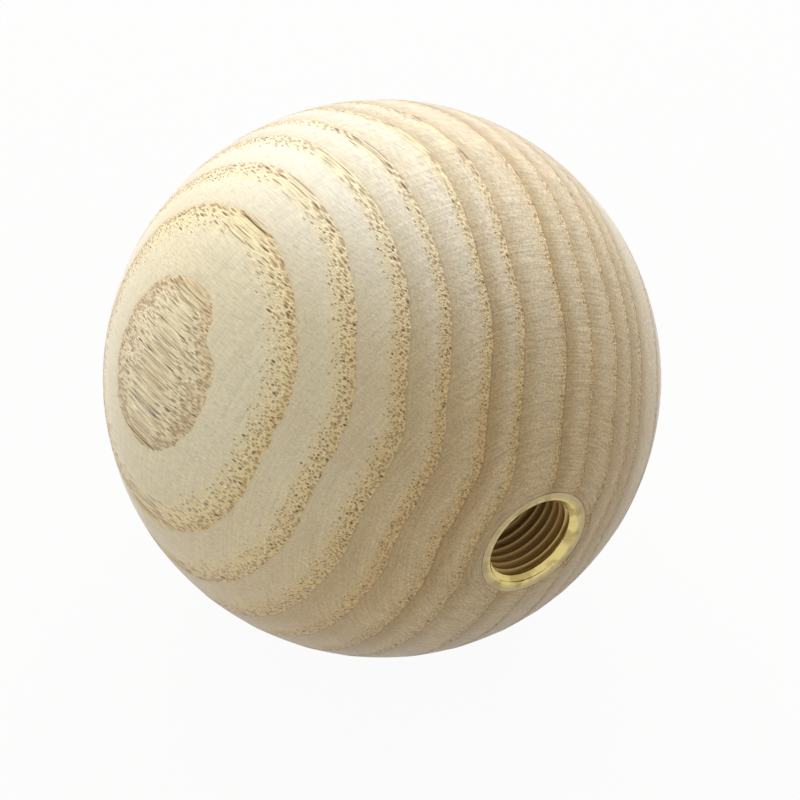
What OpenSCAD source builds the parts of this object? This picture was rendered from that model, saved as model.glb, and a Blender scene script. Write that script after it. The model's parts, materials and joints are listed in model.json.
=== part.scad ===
// Turned wooden ball knob with a threaded brass bush.
// The thread lies level and opens to the front, along -Y, and +Z is up.
// The origin is the centre of the flat seat that is turned round the thread's mouth.

/* [Ball] */
// Diameter of the wooden ball
ball_d = 55; // [45:1:80]
// Width of the ring of wood that is faced flat round the bush
seat_ring_w = 0.75; // [0.25:0.05:4]

/* [Thread] */
// Nominal diameter of the internal thread
thread_d = 10; // [8:0.5:12]
// Pitch of the internal thread
thread_pitch = 1; // [0.5:0.25:1.5]
// Leg of the chamfer at the thread's mouth
mouth_chamfer = 0.64; // [0.3:0.02:0.9]
// Leg of the small chamfer at the thread's inner end
inner_chamfer = 0.4; // [0.2:0.05:0.8]

/* [Bush] */
// Length of the brass bush
bush_len = 16; // [13:0.5:20]
// Brass left between the thread's roots and the outside of the bush
bush_wall = 1; // [0.9:0.05:2]
// Plain land at each end of the bush
end_land = 3; // [2:0.25:3.5]
// Number of grip grooves turned in the outside of the bush
groove_count = 4; // [1:1:4]
// Depth of a grip groove
groove_depth = 0.4; // [0.1:0.05:0.6]
// Width of a grip groove at the outside of the bush
groove_w = 1.2; // [0.8:0.1:1.4]
// Leg of the lead-in chamfer that starts the bush into the wood
lead_in = 0.5; // [0.2:0.05:0.7]

/* [Hole in the wood] */
// Depth left empty behind the bush, so that a long stud does not bottom out
end_space = 2; // [0.5:0.25:6]
// Full angle of the drill's point
drill_point_angle = 118; // [90:1:140]

/* [Hidden] */

// Height of a 60 degree thread's engaged flank, as a share of its pitch
thread_depth_share = 5 / 8 * sqrt(3) / 2;
// Radius of the thread's crests, which is the radius of the tapped hole
crest_r = thread_d / 2 - thread_depth_share * thread_pitch;
mouth_r = crest_r + mouth_chamfer;
inner_mouth_r = crest_r + inner_chamfer;

bush_r = thread_d / 2 + bush_wall;
groove_floor_r = bush_r - groove_depth;
groove_step = (bush_len - 2 * end_land) / groove_count;

ball_r = ball_d / 2;
seat_r = bush_r + seat_ring_w;
// Distance from the ball's centre to the flat seat
seat_h = sqrt(ball_r * ball_r - seat_r * seat_r);

hole_depth = bush_len + end_space;
drill_point_len = bush_r / tan(drill_point_angle / 2);

// Overrun that takes a cut clear through a face
cut_over = 1;

ball_fn = 180;
bush_fn = 120;

// Points of one grip groove's section, as radius and depth below the seat.
// The wall nearest the mouth is square and holds against a pull,
// and the far wall slopes out so that the bush can be pressed in.
function groove_points(depth) = [
    [bush_r, depth],
    [groove_floor_r, depth],
    [bush_r, depth + groove_w]
];

// Depth below the seat at which groove number i starts
function groove_start(i) = end_land + (i + 0.5) * groove_step - groove_w / 2;

// Half section of the bush, as radius and depth below the seat
module bush_section() {
    outside = [
        for (i = [0 : groove_count - 1])
            each groove_points(groove_start(i))
    ];
    polygon(concat(
        [
            [mouth_r, 0],
            [bush_r, 0]
        ],
        outside,
        [
            [bush_r, bush_len - lead_in],
            [bush_r - lead_in, bush_len],
            [inner_mouth_r, bush_len],
            [crest_r, bush_len - inner_chamfer],
            [crest_r, mouth_chamfer]
        ]
    ));
}

// Lays what is turned about Z on its side, with depth running back along +Y
module lay_back() {
    rotate([-90, 0, 0])
        children();
}

// The drill's path into the wood, with its pointed end
module drilled_hole() {
    translate([0, 0, -cut_over])
        cylinder(r = bush_r, h = hole_depth + cut_over, $fn = bush_fn);
    translate([0, 0, hole_depth])
        cylinder(r1 = bush_r, r2 = 0, h = drill_point_len, $fn = bush_fn);
}

// What the facing cut takes off the front of the ball
module faced_off() {
    translate([0, 0, -ball_r])
        cylinder(r = seat_r + cut_over, h = ball_r, $fn = bush_fn);
}

// Turned ball, faced flat at the front and drilled blind for the bush
module wooden_ball() {
    color("burlywood")
        lay_back()
            difference() {
                translate([0, 0, seat_h])
                    sphere(r = ball_r, $fn = ball_fn);
                faced_off();
                drilled_hole();
            }
}

// Turned brass bush, flush with the seat, tapped right through
module threaded_bush() {
    color("goldenrod")
        lay_back()
            rotate_extrude($fn = bush_fn)
                bush_section();
}

wooden_ball();
threaded_bush();
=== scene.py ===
# %% [markdown]
# A turned ash ball with a brass bush. The real object is two pieces: a ball that was
# turned from a block of ash and drilled, and a tapped brass bush that was pressed into the
# hole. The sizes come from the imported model, so the first cell loads it and measures it.

import json
import math

import bmesh
import bpy
import numpy as np
from mathutils import Matrix, Vector


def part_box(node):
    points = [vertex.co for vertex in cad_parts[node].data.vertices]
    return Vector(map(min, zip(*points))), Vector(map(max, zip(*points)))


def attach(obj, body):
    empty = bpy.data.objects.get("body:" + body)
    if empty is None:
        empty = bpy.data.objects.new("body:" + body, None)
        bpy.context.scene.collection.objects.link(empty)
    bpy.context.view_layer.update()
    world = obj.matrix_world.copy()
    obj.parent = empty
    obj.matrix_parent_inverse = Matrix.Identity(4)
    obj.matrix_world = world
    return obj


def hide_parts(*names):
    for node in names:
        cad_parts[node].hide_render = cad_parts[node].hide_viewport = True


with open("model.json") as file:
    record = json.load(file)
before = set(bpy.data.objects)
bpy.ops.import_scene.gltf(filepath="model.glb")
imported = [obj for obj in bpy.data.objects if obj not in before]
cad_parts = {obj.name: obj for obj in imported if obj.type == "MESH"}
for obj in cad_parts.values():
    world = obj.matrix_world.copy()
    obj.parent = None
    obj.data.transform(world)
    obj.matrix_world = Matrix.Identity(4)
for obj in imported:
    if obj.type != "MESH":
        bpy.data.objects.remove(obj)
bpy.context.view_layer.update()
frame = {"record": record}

MM = 0.001
ball_low, ball_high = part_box("wooden_ball")
bush_low, bush_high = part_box("threaded_bush")
bush_r = (bush_high[0] - bush_low[0]) / 2 / MM
SEAT_RING_W = 0.75
seat_r = bush_r + SEAT_RING_W
ball_height = ball_high[1] / MM
ball_r = (ball_height ** 2 + seat_r ** 2) / (2 * ball_height)
ball_centre = ball_height - ball_r
bush_len = (bush_high[1] - bush_low[1]) / MM
thread_mount = next(m for m in frame["record"]["mounts"] if m["name"] == "thread")
crest_r = thread_mount["dims"]["r_mm"]
mouth_chamfer = thread_mount["pos_m"][1] / MM
print(f"ball {2 * ball_r:.2f} mm across, seat {2 * seat_r:.2f} mm, bush {2 * bush_r:.2f} mm")

# %% [markdown]
# The camera comes first, so that every later look is judged in the right view. The ball
# lies with its thread level, and the camera looks down on it from the front left. A long
# lens is used because the ellipse of the mouth shows hardly any perspective.

# %% Camera
IMAGE_W = 800
SENSOR_MM = 36
VIEW_AZIMUTH = math.radians(-33.35)
VIEW_ELEVATION = math.radians(45.3)
VIEW_DISTANCE_IN_RADII = 24
BALL_IN_IMAGE = (382.0, 378.5)
BALL_IMAGE_R = 279.2

to_camera = Vector((
    math.sin(VIEW_AZIMUTH) * math.cos(VIEW_ELEVATION),
    -math.cos(VIEW_AZIMUTH) * math.cos(VIEW_ELEVATION),
    math.sin(VIEW_ELEVATION),
))
camera_right = Vector((math.cos(VIEW_AZIMUTH), math.sin(VIEW_AZIMUTH), 0))
camera_up = to_camera.cross(camera_right)
view_distance = VIEW_DISTANCE_IN_RADII * ball_r * MM
focal_px = BALL_IMAGE_R * math.sqrt(VIEW_DISTANCE_IN_RADII ** 2 - 1)
metres_per_px = view_distance / focal_px
ball_middle = Vector((0, ball_centre * MM, 0))
aim = (
    ball_middle
    + camera_right * (IMAGE_W / 2 - BALL_IN_IMAGE[0]) * metres_per_px
    + camera_up * (BALL_IN_IMAGE[1] - IMAGE_W / 2) * metres_per_px
)

camera_data = bpy.data.cameras.new("camera")
camera_data.sensor_width = SENSOR_MM
camera_data.lens = focal_px / IMAGE_W * SENSOR_MM
camera_data.clip_start = 0.01
camera_data.clip_end = 20
camera = bpy.data.objects.new("camera", camera_data)
bpy.context.scene.collection.objects.link(camera)
camera.matrix_world = Matrix.Translation(aim + to_camera * view_distance) @ Matrix((
    camera_right,
    camera_up,
    to_camera,
)).transposed().to_4x4()
bpy.context.scene.camera = camera
print(f"lens {camera_data.lens:.0f} mm at {view_distance:.2f} m")

# %% [markdown]
# A few helpers keep the meshes short. Both pieces were made by turning, so both are built
# as rows of points round the thread's axis: a row is one turn, and a face joins two rows.

# %% Helpers for turned meshes
DOUBLED_POINTS = 2e-6


def turned_points(radii, depths, columns):
    """Points round the thread's axis: one row for each radius and depth, in millimetres."""
    turn = np.arange(columns) / columns * 2 * math.pi
    radii = np.asarray(radii)[:, None]
    depths = np.broadcast_to(np.asarray(depths)[:, None], (len(depths), columns))
    return np.stack([radii * np.sin(turn), depths, radii * np.cos(turn)], axis=-1)


def joined_rows(first, second, columns, shift=0):
    """Faces between two rows that start at point numbers first and second."""
    here = np.arange(columns)
    beyond = (here + 1) % columns
    lead = np.where(here == columns - 1, shift, 0)
    return np.stack([first + here, first + beyond + lead, second + beyond + lead, second + here], 1)


def mesh_object(name, points, faces, sharp_angle):
    """A smooth mesh in metres from points in millimetres, with doubled points merged."""
    mesh = bpy.data.meshes.new(name)
    mesh.from_pydata((np.asarray(points) * MM).tolist(), [], faces)
    shape = bmesh.new()
    shape.from_mesh(mesh)
    bmesh.ops.remove_doubles(shape, verts=shape.verts, dist=DOUBLED_POINTS)
    bmesh.ops.recalc_face_normals(shape, faces=shape.faces)
    shape.to_mesh(mesh)
    shape.free()
    mesh.shade_smooth()
    mesh.set_sharp_from_angle(angle=math.radians(sharp_angle))
    piece = bpy.data.objects.new(name, mesh)
    bpy.context.scene.collection.objects.link(piece)
    return piece


# %% [markdown]
# Ash is a ring-porous wood. The tree lays down one ring a year: first a band of wide open
# pores, then dense wood that darkens until growth stops at a sharp edge. The ball was cut
# from straight wood, so its rings are nearly flat sheets. Each point of the ball gets three
# coordinates: how far it lies towards the bark, across the rings' face, and along the fibre.

# %% The directions of the wood
BARK_WAY = Vector((-0.861, 0.104, 0.498)).normalized()
thread_way = Vector((0, -1, 0))
TRUNK_WAY = (thread_way - thread_way.dot(BARK_WAY) * BARK_WAY).normalized()
ACROSS_WAY = TRUNK_WAY.cross(BARK_WAY)
# Fibres wind a little round the trunk
SPIRAL_GRAIN = math.radians(-7)

TRUNK_TILT = 0.081
ACROSS_TILT = 0.069
PITH_DISTANCE = 120.0
RING_FAN = 0.0019
# Waves that run along the trunk: centre across the rings, half width and height, all in mm
EDGE_WAVE = (-24.0, 3.3, -0.75)
MIDDLE_WAVES = [(1.1, 3.3, -0.47), (-7.7, 3.9, 0.72)]
# A dent in the outermost ring: centre across and along the trunk, half width and depth
DENT = ((-5.2, 4.4), 2.2, 0.35)


def wave(across, centre, half_width, height):
    """A smooth swell of the rings along one line of the trunk."""
    return height * np.exp(-((across - centre) / half_width) ** 2)


def wood_coordinates(points):
    """Growth, sideways and fibre coordinates in millimetres of points in millimetres."""
    from_middle = points - np.array([0, ball_centre, 0])
    bark = from_middle @ np.array(BARK_WAY)
    across = from_middle @ np.array(ACROSS_WAY)
    along = from_middle @ np.array(TRUNK_WAY)
    depth_share = np.clip(1 - (bark / ball_r) ** 2, 0, 1)
    growth = bark + TRUNK_TILT * along * (1 - bark / ball_r) + ACROSS_TILT * across
    growth += across ** 2 / (2 * PITH_DISTANCE) - RING_FAN * bark * across
    growth += wave(across, *EDGE_WAVE)
    for middle_wave in MIDDLE_WAVES:
        growth += depth_share * wave(across, *middle_wave)
    (dent_across, dent_along), dent_width, dent_depth = DENT
    dent_distance = np.hypot(across - dent_across, along - dent_along)
    growth -= np.where(bark > 0, wave(dent_distance, 0, dent_width, dent_depth), 0)
    sideways = across * math.cos(SPIRAL_GRAIN) - along * math.sin(SPIRAL_GRAIN)
    fibre = along * math.cos(SPIRAL_GRAIN) + across * math.sin(SPIRAL_GRAIN)
    return np.stack([growth, sideways, fibre], axis=-1)


# %% [markdown]
# The rings are a record of weather, so their widths follow no formula. This diary holds one
# line for each year, from the pith side to the bark side: where the ring starts, how wide
# its band of open pores is, and how dark the wood has turned when the ring ends.

# %% The diary of the rings
# Start of the ring in mm, width of its pore band in mm, darkness of its last wood
RING_DIARY = [
    (-31.0, 0.5, 1.0),
    (-27.3, 0.5, 1.0),
    (-23.4, 0.5, 1.0),
    (-19.6, 0.5, 1.0),
    (-16.0, 0.5, 1.0),
    (-10.7, 0.5, 0.9),
    (-8.6, 0.5, 0.8),
    (-5.9, 0.5, 0.65),
    (-2.2, 0.45, 1.0),
    (1.35, 0.55, 0.8),
    (6.05, 0.65, 1.0),
    (9.25, 0.75, 0.65),
    (12.9, 0.85, 0.6),
    (16.15, 1.1, 0.3),
    (19.8, 1.1, 0.25),
    (23.25, 1.1, 0.1),
    (26.4, 1.6, 0.1),
    (31.0, 1.5, 0.1),
]
ring_starts = np.array([line[0] for line in RING_DIARY])
ring_widths = np.append(np.diff(ring_starts), 3.6)


def ring_age(growth):
    """Whole rings passed since the first, with the share of the present one."""
    return np.interp(growth, ring_starts, np.arange(len(ring_starts)))


print(f"{len(RING_DIARY)} rings, {ring_widths.mean():.1f} mm wide on average")

# %% [markdown]
# The ball. A plain sphere would be too perfect: sanding takes the soft early wood down a
# little more than the hard late wood, so each ring ends in a faint step. The mesh carries
# that step, and it also stores the wood's coordinates for the finish.

# %% Turned ball
BALL_COLUMNS = 420
BALL_ROWS = 208
RING_STEP = 0.035
STEP_FADE = 0.9
WOOD_EDGE_BREAK = 0.08
END_SPACE = 2.0
DRILL_POINT_ANGLE = math.radians(118)


def ring_relief(points):
    """Height of the ring's step in millimetres: highest in the late wood."""
    age = ring_age(wood_coordinates(points)[..., 0])
    number = np.minimum(np.floor(age).astype(int), len(ring_widths) - 1)
    before_end = (1 - (age - np.floor(age))) * ring_widths[number]
    return RING_STEP * (np.exp(-before_end / STEP_FADE) - 0.5)


def turned_ball():
    """The ball's mesh: hole, faced seat and round, all about the thread's axis."""
    hole_depth = bush_len + END_SPACE
    tip_depth = hole_depth + bush_r / math.tan(DRILL_POINT_ANGLE / 2)
    hole = [
        (0.02, tip_depth),
        (bush_r, hole_depth),
        (bush_r, hole_depth / 2),
        (bush_r, WOOD_EDGE_BREAK),
        (bush_r + WOOD_EDGE_BREAK, 0),
        ((bush_r + seat_r) / 2, 0),
    ]
    seat_angle = math.asin(seat_r / ball_r)
    angles = np.linspace(seat_angle, math.pi, BALL_ROWS + 1)[:-1]
    round_radii = ball_r * np.sin(angles)
    round_depths = ball_centre - ball_r * np.cos(angles)
    radii = [r for r, _ in hole] + list(round_radii)
    depths = [d for _, d in hole] + list(round_depths)
    rows = turned_points(radii, depths, BALL_COLUMNS)
    turned = rows[len(hole) + 1:]
    outward = turned - np.array([0, ball_centre, 0])
    outward /= np.linalg.norm(outward, axis=-1, keepdims=True)
    turned += outward * ring_relief(turned)[..., None]
    points = rows.reshape(-1, 3)
    pole = np.array([[0, ball_centre + ball_r, 0]])
    points = np.concatenate([points, pole])
    faces = [
        joined_rows(i * BALL_COLUMNS, (i + 1) * BALL_COLUMNS, BALL_COLUMNS)
        for i in range(len(radii) - 1)
    ]
    faces = np.concatenate(faces).tolist()
    last = (len(radii) - 1) * BALL_COLUMNS
    for i in range(BALL_COLUMNS):
        faces.append([last + i, last + (i + 1) % BALL_COLUMNS, len(points) - 1])
    faces.append(list(range(BALL_COLUMNS))[::-1])
    return mesh_object("turned_ball", points, faces, sharp_angle=25)


ball = turned_ball()
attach(ball, "root")
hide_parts("wooden_ball")


def store_wood_coordinates(piece):
    """Writes the wood's coordinates and the ring's age on every point of the piece."""
    mesh = piece.data
    points = np.empty(len(mesh.vertices) * 3, dtype=np.float32)
    mesh.vertices.foreach_get("co", points)
    wood = wood_coordinates(points.reshape(-1, 3).astype(float) / MM)
    place = mesh.attributes.new("wood_place", "FLOAT_VECTOR", "POINT")
    place.data.foreach_set("vector", wood.astype(np.float32).ravel())
    age = mesh.attributes.new("ring_age", "FLOAT", "POINT")
    age.data.foreach_set("value", ring_age(wood[:, 0]).astype(np.float32))


store_wood_coordinates(ball)
print(f"ball: {len(ball.data.vertices)} points, {2 * len(ball.data.polygons)} triangles")

# %% [markdown]
# The bush. On the real one a tap cut the thread, so the thread is one long groove and not a
# stack of rings. Its rows of points climb with the groove, one pitch in each turn, and each
# last point of a row joins the first point of the row one pitch further in. The chamfer
# cuts through the first turns: the wall is the larger of the chamfer's and the thread's
# radius.

# %% Thread profile
THREAD_PITCH = 1.0
THREAD_START = 0.17
THREAD_MAJOR_R = 5.0
CREST_FLAT = 0.25
ROOT_FLAT = 0.125
CORNER = 0.035
ROWS_PER_PITCH = 20
BUSH_COLUMNS = 144
INNER_CHAMFER = 0.4
# Rounded rim between chamfer and face: distance outside the chamfer's edge, and depth
RIM_ROUND = [(-0.09, 0.09), (-0.03, 0.04), (0.05, 0.01), (0.14, 0.0)]


def thread_radius(turns):
    """Radius of the tapped wall, for a place counted in pitches along the groove."""
    share = np.abs((turns + 0.5) % 1 - 0.5)
    start = CREST_FLAT / 2
    end = 0.5 - ROOT_FLAT / 2
    rise = np.clip((share - start) / (end - start), 0, 1)
    rounded = rise + CORNER * (np.exp(-(rise / CORNER) ** 2) - np.exp(-((1 - rise) / CORNER) ** 2))
    return crest_r + (THREAD_MAJOR_R - crest_r) * np.clip(rounded, 0, 1)


def tapped_wall():
    """Rows that climb with the thread, from the mouth to the inner end."""
    turn = np.arange(BUSH_COLUMNS) / BUSH_COLUMNS
    first = -2 * ROWS_PER_PITCH
    last = int(round(bush_len / THREAD_PITCH * ROWS_PER_PITCH))
    steps = np.arange(first, last + 1) / ROWS_PER_PITCH
    depth = (steps[:, None] + turn[None, :] + THREAD_START) * THREAD_PITCH
    radius = np.broadcast_to(thread_radius(steps)[:, None], depth.shape)
    radius = np.where(depth < bush_len, radius, crest_r)
    depth = np.clip(depth, RIM_ROUND[0][1], bush_len)
    radius = np.maximum(radius, crest_r + mouth_chamfer - depth)
    radius = np.maximum(radius, crest_r + INNER_CHAMFER - (bush_len - depth))
    angle = turn * 2 * math.pi
    return np.stack([radius * np.sin(angle), depth, radius * np.cos(angle)], axis=-1)


print(f"thread: crests {2 * crest_r:.2f} mm, roots {2 * THREAD_MAJOR_R:.2f} mm, pitch {THREAD_PITCH} mm")

# %% [markdown]
# The outside of the bush is hidden in the wood, with the grip grooves that hold it. The
# face that shows is flat, and its two corners are rounded a few hundredths, as a tool
# leaves them, so that they catch a thin line of light.

# %% Brass bush
END_LAND = 3.0
GROOVES = 4
GROOVE_DEPTH = 0.4
GROOVE_W = 1.2
LEAD_IN = 0.5
FACE_CORNER = 0.06


def bush_outside():
    """Radius and depth of the rows from the mouth's rim round to the inner end."""
    mouth_r = crest_r + mouth_chamfer
    rows = [(mouth_r + outside, depth) for outside, depth in RIM_ROUND]
    rows += [
        (bush_r - FACE_CORNER, 0.0),
        (bush_r - FACE_CORNER * 0.3, FACE_CORNER * 0.3),
        (bush_r, FACE_CORNER),
    ]
    step = (bush_len - 2 * END_LAND) / GROOVES
    for i in range(GROOVES):
        start = END_LAND + (i + 0.5) * step - GROOVE_W / 2
        rows += [
            (bush_r, start),
            (bush_r - GROOVE_DEPTH, start),
            (bush_r, start + GROOVE_W),
        ]
    rows += [
        (bush_r, bush_len - LEAD_IN),
        (bush_r - LEAD_IN, bush_len),
        (crest_r + INNER_CHAMFER, bush_len),
    ]
    return rows


def threaded_bush():
    """The bush as one closed mesh: tapped wall, face, grooved outside and inner end."""
    wall = tapped_wall()
    wall_rows = len(wall)
    outside = bush_outside()
    around = turned_points([r for r, _ in outside], [d for _, d in outside], BUSH_COLUMNS)
    points = np.concatenate([wall.reshape(-1, 3), around.reshape(-1, 3)])
    climb = ROWS_PER_PITCH * BUSH_COLUMNS
    faces = []
    last_row = (wall_rows - 1) * BUSH_COLUMNS
    for i in range(wall_rows - 1):
        strip = joined_rows(i * BUSH_COLUMNS, (i + 1) * BUSH_COLUMNS, BUSH_COLUMNS, shift=climb)
        strip = np.where(strip >= wall_rows * BUSH_COLUMNS, last_row, strip)
        faces.append(strip)
    offset = wall_rows * BUSH_COLUMNS
    for i in range(len(outside) - 1):
        row = offset + i * BUSH_COLUMNS
        faces.append(joined_rows(row, row + BUSH_COLUMNS, BUSH_COLUMNS))
    return mesh_object("brass_bush", points, np.concatenate(faces).tolist(), sharp_angle=40)


bush = threaded_bush()
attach(bush, "root")
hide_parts("threaded_bush")
print(f"bush: {len(bush.data.vertices)} points")

# %% [markdown]
# Finishes are built from nodes, because a grain that is worked out in three dimensions runs
# true through the whole ball: dots where the fibre ends, long streaks where it lies flat.
# An image could not do that. These helpers write one node each, so that the finishes below
# read like a recipe.

# %% Helpers for finishes
def new_finish(name):
    """A material with its Principled shader."""
    material = bpy.data.materials.new(name)
    material.use_nodes = True
    return material, material.node_tree, material.node_tree.nodes["Principled BSDF"]


def put(tree, socket, value):
    """Links an output to a socket, or writes a plain value on it."""
    if isinstance(value, bpy.types.NodeSocket):
        tree.links.new(value, socket)
    else:
        socket.default_value = value


def calc(tree, operation, *values):
    """One step of arithmetic on numbers or outputs."""
    step = tree.nodes.new("ShaderNodeMath")
    step.operation = operation
    for socket, value in zip(step.inputs, values):
        put(tree, socket, value)
    return step.outputs[0]


def ramped(tree, value, low, high, at_low=0.0, at_high=1.0):
    """A smooth change from at_low to at_high while the value goes from low to high."""
    step = tree.nodes.new("ShaderNodeMapRange")
    step.interpolation_type = "SMOOTHSTEP"
    for socket, number in zip(step.inputs, (value, low, high, at_low, at_high)):
        put(tree, socket, number)
    return step.outputs[0]


def blend(tree, share, first, second, way="MIX"):
    """One colour laid over another."""
    step = tree.nodes.new("ShaderNodeMix")
    step.data_type = "RGBA"
    step.blend_type = way
    put(tree, step.inputs["Factor"], share)
    put(tree, step.inputs[6], first)
    put(tree, step.inputs[7], second)
    return step.outputs[2]


def stretched(tree, place, lengths):
    """Coordinates counted in the given lengths, in place of millimetres."""
    step = tree.nodes.new("ShaderNodeVectorMath")
    step.operation = "DIVIDE"
    put(tree, step.inputs[0], place)
    step.inputs[1].default_value = lengths
    return step.outputs[0]


def grain(tree, place, lengths, detail=2.0, roughness=0.5):
    """Noise round zero whose grains have the given lengths in millimetres."""
    step = tree.nodes.new("ShaderNodeTexNoise")
    put(tree, step.inputs["Vector"], stretched(tree, place, lengths))
    step.inputs["Scale"].default_value = 1.0
    step.inputs["Detail"].default_value = detail
    step.inputs["Roughness"].default_value = roughness
    return calc(tree, "SUBTRACT", step.outputs["Fac"], 0.5)


def split(tree, vector):
    """The three parts of a vector or colour."""
    step = tree.nodes.new("ShaderNodeSeparateXYZ")
    put(tree, step.inputs[0], vector)
    return step.outputs


def stored(tree, name):
    """The node that reads a value stored on the mesh."""
    step = tree.nodes.new("ShaderNodeAttribute")
    step.attribute_name = name
    return step


def rgb(red, green, blue):
    """A colour as a paint chart writes it, from 0 to 255, made linear for the shader."""
    parts = [part / 255 for part in (red, green, blue)]
    linear = [part / 12.92 if part < 0.04 else ((part + 0.055) / 1.055) ** 2.4 for part in parts]
    return (*linear, 1.0)


# %% [markdown]
# The ring clock turns the stored age into what the finish needs at each spot: how far above
# its ring's start it lies, how much wood is left before the ring's end, and that year's line
# of the diary. The diary goes into a colour ramp with one flat stop for each year. A little
# grain is added to the age first, because the edge of a real ring is never ruled.

# %% Ring clock
DIARY_SCALE = 4.0


def diary_ramp(tree, number):
    """The diary's band, darkness and width for a ring number, divided by DIARY_SCALE."""
    step = tree.nodes.new("ShaderNodeValToRGB")
    ramp = step.color_ramp
    ramp.interpolation = "CONSTANT"
    years = len(RING_DIARY)
    while len(ramp.elements) < years:
        ramp.elements.new(len(ramp.elements) / years)
    for i, (_, band, darkness) in enumerate(RING_DIARY):
        ramp.elements[i].position = i / years
        ramp.elements[i].color = (band / DIARY_SCALE, darkness, ring_widths[i] / DIARY_SCALE / 2, 1)
    put(tree, step.inputs[0], calc(tree, "DIVIDE", calc(tree, "ADD", number, 0.5), years))
    band, darkness, width = split(tree, step.outputs[0])
    return (
        calc(tree, "MULTIPLY", band, DIARY_SCALE),
        darkness,
        calc(tree, "MULTIPLY", width, DIARY_SCALE * 2),
    )


def ring_clock(tree):
    """Distances in the ring in millimetres, its share, its pore band and its darkness."""
    place = stored(tree, "wood_place").outputs["Vector"]
    age = stored(tree, "ring_age").outputs["Fac"]
    fine_wander = calc(tree, "MULTIPLY", grain(tree, place, (0.7, 0.7, 8)), 0.16)
    slow_wander = calc(tree, "MULTIPLY", grain(tree, place, (2.5, 2.5, 18)), 0.38)
    wander = calc(tree, "ADD", fine_wander, slow_wander)
    wander = calc(tree, "MULTIPLY", wander, ramped(tree, split(tree, place)[0], 22, 26, 1.0, 0.5))
    _, _, plain_width = diary_ramp(tree, calc(tree, "FLOOR", age))
    age = calc(tree, "ADD", age, calc(tree, "DIVIDE", wander, plain_width))
    band, darkness, width = diary_ramp(tree, calc(tree, "FLOOR", age))
    share = calc(tree, "FRACT", age)
    above_start = calc(tree, "MULTIPLY", share, width)
    before_end = calc(tree, "SUBTRACT", width, above_start)
    return place, share, above_start, before_end, band, darkness


# %% [markdown]
# Pores are tubes that run with the fibre. A flat Voronoi texture, laid across the fibre,
# makes cells round scattered points, and each cell is one tube of any length. A slow noise
# along the fibre bends the tubes and lets them swell and close. The cell's own point says
# whether the tube lies in the pore band, so pores stay whole at the band's edge. A few
# pores are wider and look deep, and those of the outermost ring are narrower.

# %% Pores
EARLY_PORE_SPACING = 0.30
LATE_PORE_SPACING = 0.42
LATE_PORE_BORE = 0.16
# Growth over which the outermost ring of the ball opens, in mm
OUTER_RING = (24.5, 26.5)


def pore_field(tree, place, spacing, seed_shift):
    """Tubes along the fibre: distance to the middle, random numbers, middle's lead, swell."""
    growth, sideways, fibre = split(tree, place)
    bend = grain(tree, place, (1.6, 1.6, 16), detail=1)
    bent = tree.nodes.new("ShaderNodeCombineXYZ")
    put(tree, bent.inputs[0], calc(tree, "ADD", growth, calc(tree, "MULTIPLY", bend, 0.5)))
    put(tree, bent.inputs[1], calc(tree, "SUBTRACT", sideways, calc(tree, "MULTIPLY", bend, 0.8)))
    moved = tree.nodes.new("ShaderNodeVectorMath")
    moved.operation = "ADD"
    put(tree, moved.inputs[0], stretched(tree, bent.outputs[0], (spacing, spacing, 1)))
    moved.inputs[1].default_value = (seed_shift, seed_shift, 0)
    cells = tree.nodes.new("ShaderNodeTexVoronoi")
    cells.voronoi_dimensions = "2D"
    cells.inputs["Scale"].default_value = 1.0
    put(tree, cells.inputs["Vector"], moved.outputs[0])
    middle = split(tree, cells.outputs["Position"])[0]
    lead = calc(tree, "SUBTRACT", middle, split(tree, moved.outputs[0])[0])
    swell = calc(tree, "ADD", 1.0, grain(tree, place, (spacing, spacing, 5), detail=1))
    chance = split(tree, cells.outputs["Color"])
    return cells.outputs["Distance"], chance, calc(tree, "MULTIPLY", lead, spacing), swell


def pits(tree, distance, bore, softness):
    """One inside a pit of the given bore, and nought outside."""
    inner = calc(tree, "MULTIPLY", bore, 1 - softness)
    outer = calc(tree, "MULTIPLY", bore, 1 + softness)
    return ramped(tree, distance, inner, outer, 1.0, 0.0)


def early_pores(tree, place, above_start, band):
    """The wide pores of the band: their mouths, how deep each looks for the painted shade, their pits
    and rims.
    """
    distance, chance, lead, swell = pore_field(tree, place, EARLY_PORE_SPACING, 7.3)
    height = calc(tree, "DIVIDE", calc(tree, "ADD", above_start, lead), band)
    present = calc(tree, "LESS_THAN", chance[0], ramped(tree, height, 0.5, 1.7, 1.0, 0.0))
    size = ramped(tree, height, 0.0, 1.4, 0.36, 0.22)
    variety = calc(tree, "ADD", 0.65, calc(tree, "MULTIPLY", chance[1], 0.45))
    bore = calc(tree, "MULTIPLY", calc(tree, "MULTIPLY", size, variety), swell)
    bore = calc(tree, "MULTIPLY", bore, present)
    outer = ramped(tree, split(tree, place)[0], *OUTER_RING, 1.0, 0.6)
    bore = calc(tree, "MULTIPLY", bore, outer)
    depth = calc(tree, "POWER", chance[2], 7.0)
    bore = calc(tree, "MULTIPLY", bore, ramped(tree, depth, 0.4, 1.0, 1.0, 1.3))
    mouth = pits(tree, distance, calc(tree, "MULTIPLY", bore, 0.9), 0.7)
    pit = pits(tree, distance, calc(tree, "MULTIPLY", bore, 1.2), 0.6)
    rim = pits(tree, distance, calc(tree, "MULTIPLY", bore, 1.9), 0.3)
    return mouth, depth, pit, calc(tree, "SUBTRACT", rim, pit)


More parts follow.
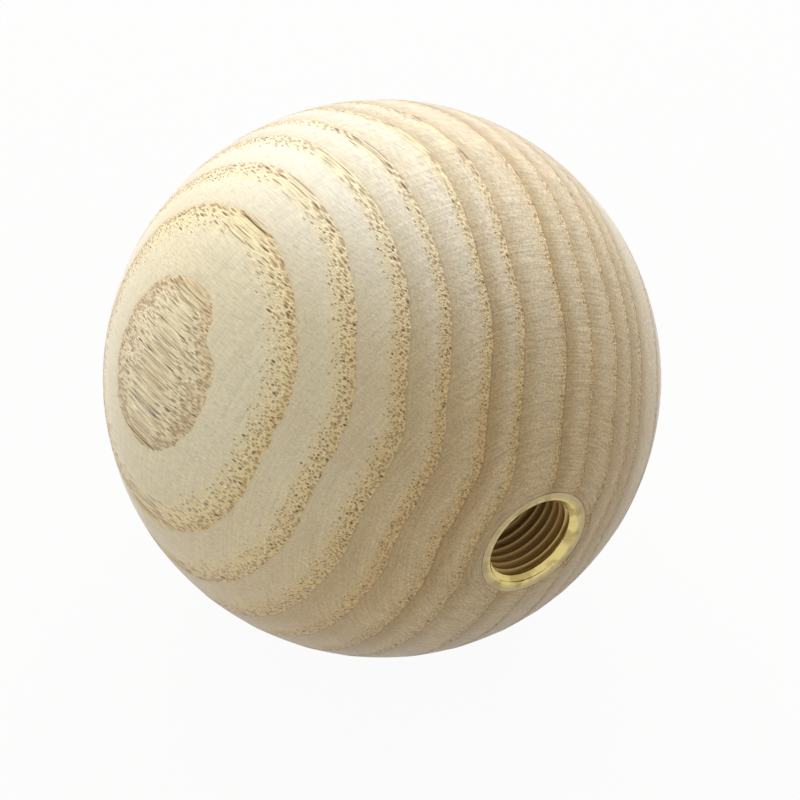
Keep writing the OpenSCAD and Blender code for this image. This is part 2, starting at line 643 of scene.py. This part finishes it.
def late_pores(tree, place, share):
    """The fine pores that are scattered through the dense wood."""
    distance, chance, _, swell = pore_field(tree, place, LATE_PORE_SPACING, 2.9)
    thinning = ramped(tree, share, 0.25, 0.9, 0.75, 0.2)
    present = calc(tree, "LESS_THAN", chance[0], thinning)
    bore = calc(tree, "MULTIPLY", LATE_PORE_BORE, calc(tree, "ADD", 0.5, chance[1]))
    bore = calc(tree, "MULTIPLY", bore, swell)
    return calc(tree, "MULTIPLY", pits(tree, distance, bore, 0.6), present)


print(f"early pores {EARLY_PORE_SPACING} mm apart, late pores {LATE_PORE_SPACING} mm apart")


# %% [markdown]
# The ball was sanded while it spun in the lathe, so its scratches run round the thread's
# axis. They are noise that is fine from pole to pole and long round the axis. Two points on
# a circle stand for the angle, because an angle itself would jump where it starts again.

# %% Lathe marks
def from_axis(tree):
    """In millimetres: x, the depth behind the mouth, z, and the distance from the axis."""
    spot = tree.nodes.new("ShaderNodeTexCoord").outputs["Object"]
    x, y, z = split(tree, stretched(tree, spot, (MM, MM, MM)))
    square = calc(tree, "ADD", calc(tree, "MULTIPLY", x, x), calc(tree, "MULTIPLY", z, z))
    radius = calc(tree, "SQRT", square)
    return x, y, z, radius


def lathe_scratches(tree, width, length):
    """Scratches round the axis, of the given width and length in millimetres."""
    x, y, z, radius = from_axis(tree)
    slant = calc(tree, "ARCTAN2", radius, calc(tree, "SUBTRACT", y, ball_centre))
    ring_place = tree.nodes.new("ShaderNodeCombineXYZ")
    put(tree, ring_place.inputs[0], calc(tree, "MULTIPLY", slant, ball_r))
    put(tree, ring_place.inputs[1], calc(tree, "MULTIPLY", calc(tree, "DIVIDE", x, radius), ball_r))
    put(tree, ring_place.inputs[2], calc(tree, "MULTIPLY", calc(tree, "DIVIDE", z, radius), ball_r))
    return grain(tree, ring_place.outputs[0], (width, length, length), detail=2, roughness=0.6)


# %% [markdown]
# The wood's colour is laid down in the order in which the eye reads it, and the tones come
# first. Ash is cream near the bark and tan near the pith. The upper side of this ball is
# painted paler, as painted light from above. Each year then adds its tints: light early
# wood, a greyer start in the outer rings, darker late wood, and a brown edge where growth
# stopped.

# %% Tones of the rings
CREAM = rgb(229, 217, 182)
TAN = rgb(206, 182, 139)
# Painted light: the paler colour painted on the upper side of the ball, as if lit from above
PAINTED_TOP_LIGHT = rgb(227, 222, 206)
BAND_TINT = rgb(254, 247, 224)
START_TINT = rgb(238, 228, 216)
LATE_TINT = rgb(219, 208, 182)
EDGE_TINT = rgb(208, 170, 116)
LATE_WOOD_W = 2.2
EDGE_W = 0.26


def ring_tones(tree, place, above_start, before_end, in_band, darkness):
    """The wood's colour from pith to bark, with the tints of each year laid over it."""
    growth, across, _ = split(tree, place)
    slow_tone = calc(tree, "MULTIPLY", grain(tree, place, (9, 9, 30)), 0.5)
    bark_share = calc(tree, "ADD", ramped(tree, growth, 10, 28), slow_tone)
    colour = blend(tree, bark_share, TAN, CREAM)

    # Painted light: the upper side is painted paler, broken up a little by the slow tone of the wood
    painted_top_light_share = ramped(tree, across, -24, -8, 1.0, 0.0)
    painted_top_light_share = calc(tree, "ADD", painted_top_light_share, calc(tree, "MULTIPLY", slow_tone, 0.3))
    painted_top_light_share = calc(tree, "MULTIPLY", painted_top_light_share, ramped(tree, growth, 0, 22, 0.25, 0.85))
    colour = blend(tree, painted_top_light_share, colour, PAINTED_TOP_LIGHT)

    light_share = calc(tree, "MULTIPLY", in_band, ramped(tree, growth, 23.5, 26, 1.0, 0.35))
    colour = blend(tree, light_share, colour, BAND_TINT, "MULTIPLY")
    at_start = ramped(tree, above_start, 0.05, 0.6, 1.0, 0.0)
    at_start = calc(tree, "MULTIPLY", at_start, ramped(tree, growth, 15, 27, 0.0, 0.9))
    colour = blend(tree, at_start, colour, START_TINT, "MULTIPLY")

    late = calc(tree, "MULTIPLY", ramped(tree, before_end, 0.3, LATE_WOOD_W, 1.0, 0.0), darkness)
    colour = blend(tree, late, colour, LATE_TINT, "MULTIPLY")
    edge = ramped(tree, before_end, 0.05, EDGE_W, 1.0, 0.0)
    edge_share = calc(tree, "MULTIPLY", edge, calc(tree, "MULTIPLY", darkness, 0.4))
    return blend(tree, edge_share, colour, EDGE_TINT, "MULTIPLY")


print(f"late wood darkens over {LATE_WOOD_W} mm and ends in an edge of {EDGE_W} mm")

# %% [markdown]
# Over the tones lies the figure, the light and dark of the fibres. Streaks run with the
# fibre, rays run across it, and the sanding left scratches round the axis. It is stronger
# on the pith side of the ball. In the outermost ring the pores lie along the surface and
# show as long open lines.

# %% Figure of the fibres
RAY_STRENGTH = 0.45
SCRATCH_STRENGTH = 0.65
STREAK_STRENGTH = 0.30
GRAIN_STRENGTH = 1.1
# Painted highlight: how much lighter the rims round the wide pores are painted
PAINTED_RIM_HIGHLIGHT = 0.28


def weighted_sum(tree, first, parts):
    """The first output, with each further part added at its own strength."""
    total = first
    for part, strength in parts:
        total = calc(tree, "ADD", total, calc(tree, "MULTIPLY", part, strength))
    return total


def open_pore_lines(tree, place, pore_zone):
    """Long open pores of the outermost ring: one in a line, and nought beside it."""
    lines = grain(tree, place, (0.24, 0.24, 14), detail=1)
    lines = ramped(tree, lines, -0.16, 0.0, 1.0, 0.0)
    lines = calc(tree, "MULTIPLY", lines, ramped(tree, split(tree, place)[0], *OUTER_RING))
    return calc(tree, "MULTIPLY", lines, pore_zone)


def fibre_figure(tree, place, in_band, pore_zone, rims):
    """How much brighter or darker than its tone the wood is at each spot."""
    growth = split(tree, place)[0]
    streak = grain(tree, place, (0.16, 0.16, 7), detail=3, roughness=0.65)
    ray = grain(tree, place, (4.0, 0.12, 0.7), detail=2, roughness=0.6)
    fuzz = grain(tree, place, (0.20, 0.20, 1.2), detail=2, roughness=0.6)
    scratches = lathe_scratches(tree, 0.16, 6.0)
    grains = grain(tree, place, (0.11, 0.11, 2.8), detail=1)
    grains = calc(tree, "MULTIPLY", grains, pore_zone)
    grains = calc(tree, "MULTIPLY", grains, ramped(tree, growth, -2, 10, 1.8, 1.0))
    figure = weighted_sum(tree, fuzz, ((ray, RAY_STRENGTH), (scratches, SCRATCH_STRENGTH)))
    figure = calc(tree, "MULTIPLY", figure, ramped(tree, growth, 6, 22, 1.15, 0.5))
    band_light = calc(tree, "MULTIPLY", in_band, ramped(tree, growth, -16, -4, 0.16, 0.05))
    return weighted_sum(tree, figure, (
        (streak, STREAK_STRENGTH),
        (grains, GRAIN_STRENGTH),
        # Painted highlight on the rims round the wide pores
        (rims, PAINTED_RIM_HIGHLIGHT),
        (band_light, 1.0),
    ))


def brightened(tree, colour, figure):
    """The colour, made brighter or darker by the figure."""
    step = tree.nodes.new("ShaderNodeVectorMath")
    step.operation = "SCALE"
    put(tree, step.inputs[0], colour)
    put(tree, step.inputs["Scale"], calc(tree, "ADD", 1.0, figure))
    return step.outputs[0]


print(f"figure: rays {RAY_STRENGTH}, scratches {SCRATCH_STRENGTH}, streaks {STREAK_STRENGTH}")

# %% [markdown]
# The pores come last. The fine ones darken the wood only a little. The wide ones are brown,
# and browner in rings with a wide band, and a few are painted nearly black: painted shade
# deep inside them. Near the mouth the facing tool left its own marks on the wood.

# %% Pore colours and tool marks
PORE_COLOUR = rgb(150, 92, 4)
# Painted shade deep inside the wide pores
PORE_SHADE_COLOUR = rgb(72, 42, 6)
FINE_PORE_TINT = rgb(218, 208, 190)
MARK_TINT = rgb(206, 190, 168)
MARKED_R = 9.0


def with_pores(tree, colour, band, fine, open_lines, mouths, depths):
    """The colour under its fine pores, open lines and wide pores."""
    colour = blend(tree, calc(tree, "MULTIPLY", fine, 0.3), colour, FINE_PORE_TINT, "MULTIPLY")
    colour = blend(tree, calc(tree, "MULTIPLY", open_lines, 0.5), colour, PORE_COLOUR)
    # Painted shade: the deep-looking wide pores are painted nearly black and spread wider
    pore_colour = blend(tree, depths, PORE_COLOUR, PORE_SHADE_COLOUR)
    pore_share = ramped(tree, band, 0.5, 1.1, 0.40, 0.58)
    pore_share = calc(tree, "ADD", pore_share, calc(tree, "MULTIPLY", depths, 0.5))
    return blend(tree, calc(tree, "MULTIPLY", mouths, pore_share), colour, pore_colour)


def facing_marks(tree, fibre):
    """Marks of the facing tool: strongest at the seat, gone at MARKED_R, none at the back."""
    _, _, _, radius = from_axis(tree)
    mouth_side = calc(tree, "GREATER_THAN", fibre, 0.0)
    near_mouth = ramped(tree, radius, seat_r, MARKED_R, 1.0, 0.0)
    near_mouth = calc(tree, "MULTIPLY", mouth_side, near_mouth)
    return calc(tree, "MULTIPLY", lathe_scratches(tree, 0.22, 40.0), near_mouth)


print(f"tool marks fade between {seat_r} and {MARKED_R} mm from the axis")

# %% [markdown]
# All of it comes together in one finish. The ball is sanded but not polished, so it is dull
# and has a soft sheen, and its pores are real pits in the bump.

# %% Ash finish
WOOD_BUMP = 0.07


def bumped(tree, surface, height, strength, distance):
    """Puts a bump of the given height in millimetres on the surface."""
    bump = tree.nodes.new("ShaderNodeBump")
    bump.inputs["Strength"].default_value = strength
    bump.inputs["Distance"].default_value = distance * MM
    put(tree, bump.inputs["Height"], height)
    put(tree, surface.inputs["Normal"], bump.outputs[0])


def ash_finish():
    """The sanded ash of the ball."""
    material, tree, surface = new_finish("sanded_ash")
    place, share, above_start, before_end, band, darkness = ring_clock(tree)
    band_share = calc(tree, "DIVIDE", above_start, band)
    in_band = ramped(tree, band_share, 0.6, 1.8, 1.0, 0.0)
    pore_zone = ramped(tree, band_share, 0.7, 1.5, 1.0, 0.0)
    fine = late_pores(tree, place, share)
    mouths, depths, pores, rims = early_pores(tree, place, above_start, band)
    open_lines = open_pore_lines(tree, place, pore_zone)
    figure = fibre_figure(tree, place, in_band, pore_zone, rims)
    tool_marks = facing_marks(tree, split(tree, place)[2])

    colour = ring_tones(tree, place, above_start, before_end, in_band, darkness)
    colour = brightened(tree, colour, figure)
    colour = with_pores(tree, colour, band, fine, open_lines, mouths, depths)
    dark_marks = ramped(tree, tool_marks, 0.02, 0.16, 0.0, 0.4)
    colour = blend(tree, dark_marks, colour, MARK_TINT, "MULTIPLY")
    put(tree, surface.inputs["Base Color"], colour)

    height = weighted_sum(tree, calc(tree, "MULTIPLY", pores, -1.0), (
        (open_lines, -0.5),
        (rims, 0.25),
        (fine, -0.15),
        (figure, 0.5),
        (tool_marks, -1.5),
    ))
    bumped(tree, surface, height, 1.0, WOOD_BUMP)
    put(tree, surface.inputs["Roughness"], ramped(tree, share, 0.3, 1.0, 0.62, 0.50))
    surface.inputs["IOR"].default_value = 1.45
    surface.inputs["Specular IOR Level"].default_value = 0.8
    surface.inputs["Sheen Weight"].default_value = 0.7
    surface.inputs["Sheen Roughness"].default_value = 0.3
    return material


ash = ash_finish()
ball.data.materials.append(ash)
print(f"ash: {len(ash.node_tree.nodes)} nodes")

# %% [markdown]
# Brass is a metal, so its colour is in its reflection. The face and the chamfer were turned
# and carry fine rings of tool marks round the axis. Wear dulls the brass in places, and
# tarnish sits on it in patches. The face is painted duller than the chamfer, and darker
# towards its outer edge next to the wood: painted shade. The thread is duller, because the
# tap left it rougher and nobody polishes it, and its colour darkens into the hole: partly
# the duller brass, partly painted shade.

# %% Brass finish
BRASS = rgb(218, 200, 130)
# Duller brass: worn patches, and painted shade over the whole face
DULL_AND_SHADED_BRASS = rgb(200, 180, 132)
# Painted shade on the outer edge of the face, next to the wood
RIM_SHADE_BRASS = rgb(174, 156, 122)
# Duller tapped brass, and painted shade: darker than the face, as inside the hole
THREAD_BRASS = rgb(176, 142, 84)
TARNISH = rgb(152, 134, 76)
BRASS_BUMP = 0.02


def brass_finish():
    """The turned and tapped brass of the bush."""
    material, tree, surface = new_finish("turned_brass")
    _, depth, _, radius = from_axis(tree)
    spot = tree.nodes.new("ShaderNodeTexCoord").outputs["Object"]
    turned = tree.nodes.new("ShaderNodeCombineXYZ")
    put(tree, turned.inputs[0], radius)
    put(tree, turned.inputs[1], depth)
    marks = grain(tree, turned.outputs[0], (0.05, 0.05, 1.0), detail=2)
    spot = stretched(tree, spot, (MM, MM, MM))
    stain = grain(tree, spot, (1.2, 1.2, 1.2), detail=3)
    mouth_r = crest_r + mouth_chamfer
    on_face = ramped(tree, radius, mouth_r - 0.05, mouth_r + 0.15)
    worn = calc(tree, "ADD", stain, calc(tree, "MULTIPLY", marks, 0.3))
    wear_and_face_shade = ramped(tree, worn, -0.1, 0.3, 0.0, 0.5)
    # Painted shade: the whole face is painted duller than the chamfer
    wear_and_face_shade = calc(tree, "MINIMUM", calc(tree, "ADD", wear_and_face_shade, calc(tree, "MULTIPLY", on_face, 0.7)), 1.0)
    colour = blend(tree, wear_and_face_shade, BRASS, DULL_AND_SHADED_BRASS)
    patches = grain(tree, spot, (2.4, 2.4, 2.4), detail=3, roughness=0.6)
    colour = blend(tree, ramped(tree, patches, -0.02, 0.12, 0.0, 0.6), colour, TARNISH)
    # Painted shade: the face is painted darker towards its outer edge, next to the wood
    painted_rim_shade = ramped(tree, radius, bush_r - 0.8, bush_r - 0.3, 0.0, 0.7)
    colour = blend(tree, painted_rim_shade, colour, RIM_SHADE_BRASS)
    # The colour darkens from the face into the thread: partly duller brass, partly painted shade in the
    # hole
    colour = blend(tree, ramped(tree, depth, 0.3, 1.8), colour, THREAD_BRASS)
    put(tree, surface.inputs["Base Color"], colour)
    in_thread = ramped(tree, depth, 0.5, 2.5)
    metal = calc(tree, "SUBTRACT", 1.0, calc(tree, "MULTIPLY", in_thread, 0.5))
    put(tree, surface.inputs["Metallic"], metal)
    roughness = ramped(tree, stain, -0.3, 0.3, 0.24, 0.36)
    roughness = calc(tree, "ADD", roughness, calc(tree, "MULTIPLY", in_thread, 0.15))
    roughness = calc(tree, "ADD", roughness, calc(tree, "MULTIPLY", on_face, 0.15))
    put(tree, surface.inputs["Roughness"], roughness)
    bumped(tree, surface, marks, 0.3, BRASS_BUMP)
    return material


brass = brass_finish()
bush.data.materials.append(brass)
print(f"brass: {len(brass.node_tree.nodes)} nodes")

# %% [markdown]
# The ball lies on a white table in a white studio. The picture's white ground is made from
# the table's colour and from the world that the camera sees, and not from more light on the
# ball. The table still darkens a little under the ball, which shows that it rests there.

# %% Table
TABLE_SIZE = 1.6
TABLE_COLOUR = rgb(194, 190, 184)
TABLE_SHOWN_WHITE = 0.95

bpy.ops.mesh.primitive_plane_add(size=TABLE_SIZE, location=(0, 0, ball_low[2]))
table = bpy.context.active_object
table.name = "table"


def background_seen(tree):
    """One for rays that show a background: seen straight, mirrored or through glass."""
    light_path = tree.nodes.new("ShaderNodeLightPath")
    ways = light_path.outputs
    seen = calc(tree, "MAXIMUM", ways["Is Camera Ray"], ways["Is Glossy Ray"])
    return calc(tree, "MAXIMUM", seen, ways["Is Transmission Ray"])


def table_finish():
    """White paint that the camera sees nearly pure white."""
    material, tree, surface = new_finish("white_table")
    surface.inputs["Base Color"].default_value = TABLE_COLOUR
    surface.inputs["Roughness"].default_value = 0.9
    white = tree.nodes.new("ShaderNodeEmission")
    mixed = tree.nodes.new("ShaderNodeMixShader")
    shown = calc(tree, "MULTIPLY", background_seen(tree), TABLE_SHOWN_WHITE)
    put(tree, mixed.inputs[0], shown)
    put(tree, mixed.inputs[1], surface.outputs[0])
    put(tree, mixed.inputs[2], white.outputs[0])
    put(tree, tree.nodes["Material Output"].inputs["Surface"], mixed.outputs[0])
    return material


table.data.materials.append(table_finish())
print(f"table {TABLE_SIZE} m wide, {-ball_low[2] / MM:.1f} mm under the thread's axis")

# %% [markdown]
# One wide soft box hangs above and behind the ball, to its right, with a low panel behind
# it and a weak, low card at its left. The white room fills the rest. All light is white, so
# every tone of the wood is its own, and the lamps are low enough that pale wood keeps its
# colour and hardly clips.

# %% Light
ROOM_LEVEL = 0.52
LAMP_POWER = 4.3
LAMP_W = 0.80
LAMP_H = 0.40
LAMP_PLACE = (0.26, 0.40, 0.45)
CARD_POWER = 0.42
CARD_W = 0.60
CARD_H = 0.12
CARD_PLACE = (-0.48, 0.08, 0.06)
PANEL_POWER = 1.2
PANEL_W = 0.60
PANEL_H = 0.30
PANEL_PLACE = (0.16, 0.50, 0.12)

scene = bpy.context.scene
scene.view_settings.view_transform = "Standard"
world = bpy.data.worlds.new("white_room")
scene.world = world
world.use_nodes = True
room = world.node_tree
seen = background_seen(room)
background = room.nodes["Background"]
background.inputs["Color"].default_value = (1, 1, 1, 1)
put(room, background.inputs["Strength"], ramped(room, seen, 0, 1, ROOM_LEVEL, 1.0))


def soft_lamp(name, power, width, height, place):
    """A rectangular soft lamp that looks at the ball and stays out of the picture."""
    data = bpy.data.lights.new(name, "AREA")
    data.shape = "RECTANGLE"
    data.size = width
    data.size_y = height
    data.energy = power
    lamp = bpy.data.objects.new(name, data)
    scene.collection.objects.link(lamp)
    lamp.location = place
    lamp.visible_camera = False
    lamp.rotation_euler = (ball_middle - lamp.location).to_track_quat("-Z", "Y").to_euler()


soft_lamp("soft_box", LAMP_POWER, LAMP_W, LAMP_H, LAMP_PLACE)
soft_lamp("side_card", CARD_POWER, CARD_W, CARD_H, CARD_PLACE)
soft_lamp("back_panel", PANEL_POWER, PANEL_W, PANEL_H, PANEL_PLACE)
print(f"lamps of {LAMP_POWER}, {CARD_POWER} and {PANEL_POWER} W in a room of {ROOM_LEVEL}")
